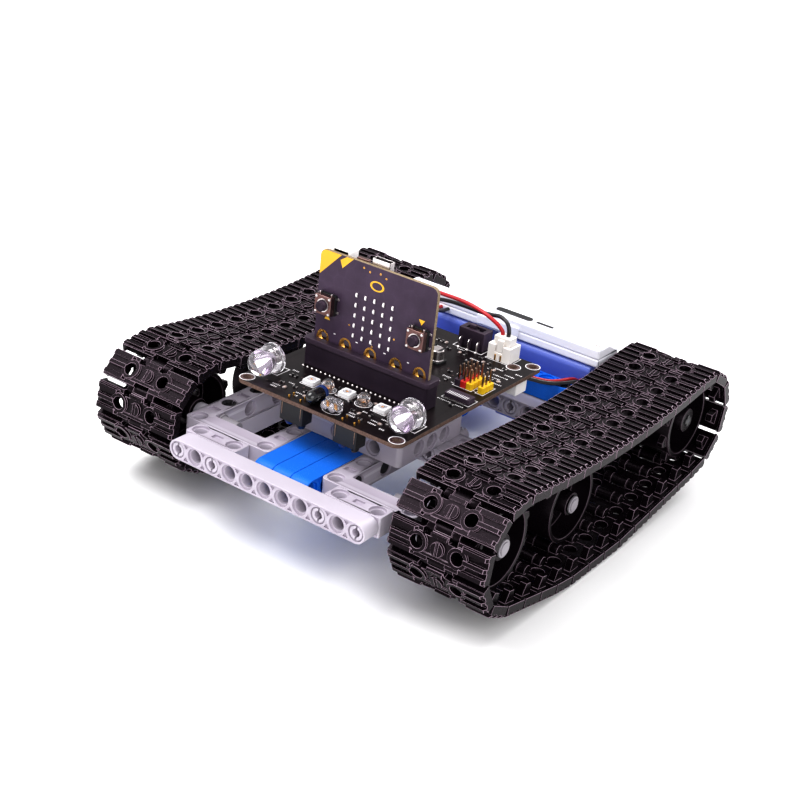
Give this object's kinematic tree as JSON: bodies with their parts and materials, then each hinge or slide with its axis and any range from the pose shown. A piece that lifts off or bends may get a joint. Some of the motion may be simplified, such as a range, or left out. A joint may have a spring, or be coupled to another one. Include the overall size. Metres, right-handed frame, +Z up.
{
  "type": "tracked tank chassis",
  "caption": "Tracked robot chassis of pinned plastic beams on two link tracks with gearmotors, battery box, main board and a plug-in controller board.",
  "frame": {"origin": "middle of the footprint, on the floor under the level part of the tracks", "axes": "+Z up; the chassis drives forward along -Y; +X is the right of a viewer who faces the front, and left and right in the names are that viewer's"},
  "size_m": [0.1746, 0.1866, 0.0994],
  "materials": {
    "brick_grey": "satin moulded plastic",
    "brick_blue": "satin moulded plastic",
    "housing_blue": "satin moulded plastic",
    "track_black": "satin moulded plastic",
    "pin_black": "satin",
    "pin_grey": "satin",
    "circuit_board": "black solder mask",
    "connector_black": "matt moulded plastic",
    "connector_white": "matt moulded plastic",
    "box_white": "satin moulded plastic",
    "lens_clear": "clear moulded",
    "post_metal": "turned",
    "case_metal": "pressed, tin plated",
    "contact_gold": "gold plated",
    "cell_wrap": "printed sleeve",
    "lead_red": "soft insulation",
    "lead_black": "soft insulation"
  },
  "bodies": {
    "chassis": {"front_beam": "brick_grey", "rear_beam": "brick_grey", "front_connector_left": "brick_grey", "front_connector_right": "brick_grey", "rear_connector_left": "brick_grey", "rear_connector_right": "brick_grey", "mid_connectors": "brick_grey", "front_frame_left": "brick_grey", "front_frame_right": "brick_grey", "board_frame": "brick_grey", "blue_beam_left": "brick_blue", "blue_beam_middle": "brick_blue", "blue_beam_right": "brick_blue", "cyan_beam": "brick_blue", "lower_rail_left": "brick_grey", "lower_rail_right": "brick_grey", "upper_rail_left": "brick_grey", "upper_rail_right": "brick_grey", "axle_blocks": "brick_grey", "beam_pins": "pin_black", "wheel_pins": "pin_grey", "spacer_bushes": "brick_grey", "motor_left": "housing_blue", "motor_right": "housing_blue", "track_left_upper": "track_black", "track_left_lower": "track_black", "track_right_upper": "track_black", "track_right_lower": "track_black", "main_board": "circuit_board", "board_posts": "post_metal", "edge_connector": "connector_black", "controller_board": "circuit_board", "button_cases": "case_metal", "switch_body": "connector_black", "power_socket": "connector_white", "power_plug": "connector_white", "headlights": "lens_clear", "line_sensors": "connector_black", "pin_headers": "connector_black", "motor_sockets": "connector_white", "battery_tray": "box_white", "battery_lid": "box_white", "battery_cells": "cell_wrap", "battery_lead_red": "lead_red", "battery_lead_black": "lead_black", "motor_lead_red": "lead_red", "motor_lead_black": "lead_black"},
    "drive_wheel_left": {"rear_axle_left": "pin_black", "rear_sprocket_left": "track_black"},
    "drive_wheel_right": {"rear_axle_right": "pin_black", "rear_sprocket_right": "track_black"},
    "idler_wheel_left": {"front_sprocket_left": "track_black"},
    "idler_wheel_right": {"front_sprocket_right": "track_black"},
    "support_wheel_left": {"mid_wheel_left": "track_black"},
    "support_wheel_right": {"mid_wheel_right": "track_black"},
    "button_a": {"button_a": "connector_black"},
    "button_b": {"button_b": "connector_black"},
    "reset_button": {"reset_button": "connector_black"},
    "switch_lever": {"switch_lever": "connector_black"}
  },
  "joints": [
    {"name": "drive_left", "type": "hinge", "parent": "chassis", "child": "drive_wheel_left", "pos_m": [-0.068, 0.07056, 0.0314], "axis": [1, 0, 0], "continuous": true},
    {"name": "idler_left", "type": "hinge", "parent": "chassis", "child": "idler_wheel_left", "pos_m": [-0.068, -0.06544, 0.0314], "axis": [1, 0, 0], "continuous": true},
    {"name": "support_left", "type": "hinge", "parent": "chassis", "child": "support_wheel_left", "pos_m": [-0.068, -0.00944, 0.0234], "axis": [1, 0, 0], "continuous": true},
    {"name": "drive_right", "type": "hinge", "parent": "chassis", "child": "drive_wheel_right", "pos_m": [0.068, 0.07056, 0.0314], "axis": [1, 0, 0], "continuous": true},
    {"name": "idler_right", "type": "hinge", "parent": "chassis", "child": "idler_wheel_right", "pos_m": [0.068, -0.06544, 0.0314], "axis": [1, 0, 0], "continuous": true},
    {"name": "support_right", "type": "hinge", "parent": "chassis", "child": "support_wheel_right", "pos_m": [0.068, -0.00944, 0.0234], "axis": [1, 0, 0], "continuous": true},
    {"name": "press_a", "type": "slide", "parent": "chassis", "child": "button_a", "axis": [0, 1, 0], "range_m": [0, 0.00025], "stiffness_N_per_m": 800, "springref_m": -0.0002},
    {"name": "press_b", "type": "slide", "parent": "chassis", "child": "button_b", "axis": [0, 1, 0], "range_m": [0, 0.00025], "stiffness_N_per_m": 800, "springref_m": -0.0002},
    {"name": "press_reset", "type": "slide", "parent": "chassis", "child": "reset_button", "axis": [0, -1, 0], "range_m": [0, 0.0002], "stiffness_N_per_m": 800, "springref_m": -0.0002},
    {"name": "power_switch", "type": "slide", "parent": "chassis", "child": "switch_lever", "axis": [1, 0, 0], "range_m": [0, 0.002]}
  ],
  "couplings": [
    {"joint": "idler_left", "follows": "drive_left", "ratio": 1},
    {"joint": "support_left", "follows": "drive_left", "ratio": 1.2241},
    {"joint": "idler_right", "follows": "drive_right", "ratio": 1},
    {"joint": "support_right", "follows": "drive_right", "ratio": 1.2241}
  ]
}
